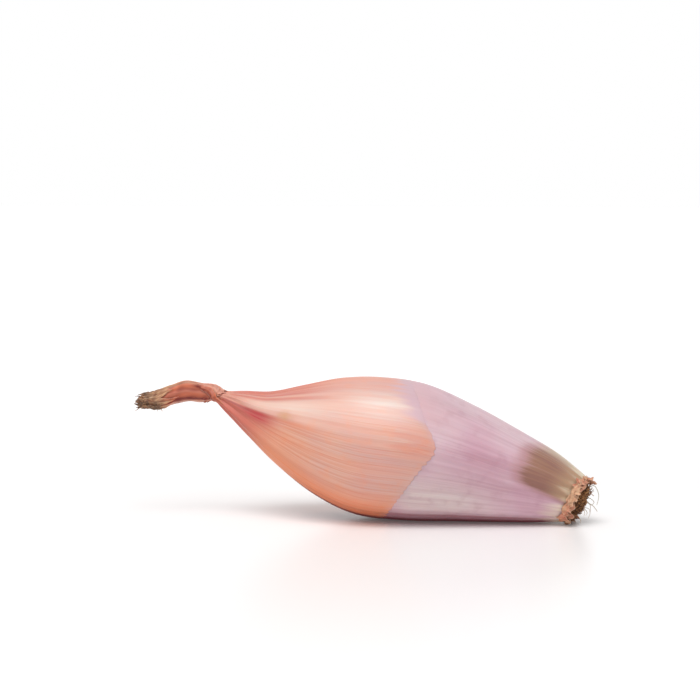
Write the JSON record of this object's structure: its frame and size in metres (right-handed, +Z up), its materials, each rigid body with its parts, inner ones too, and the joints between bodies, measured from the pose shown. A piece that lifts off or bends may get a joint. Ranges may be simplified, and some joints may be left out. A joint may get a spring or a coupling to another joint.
{
  "type": "shallot",
  "caption": "Long pink shallot lying on its belly, with a satin papery bulb, a twisted dried neck, a torn band of skin round the root end and a corky plate of cut roots.",
  "frame": {"origin": "under the middle of the whole shallot, on the surface that it lies on", "axes": "+X along the bulb from the neck to the root end, +Z up, +Y across the bulb"},
  "size_m": [0.1384, 0.0414, 0.0418],
  "materials": {
    "bulb_skin": "satin, finely lined along the bulb, peach towards the neck and pale lilac-pink towards the root",
    "dried_leaf": "dry, matt, folded lengthwise, copper-orange with a grey-tan frayed tip",
    "torn_papery_skin": "dry, crumpled, torn edges, salmon to tan",
    "corky_root": "rough cork with cut dry roots"
  },
  "bodies": {
    "root": {"bulb": "bulb_skin", "dry_neck": "dried_leaf", "torn_skin": "torn_papery_skin", "root_plate": "corky_root"}
  },
  "joints": []
}
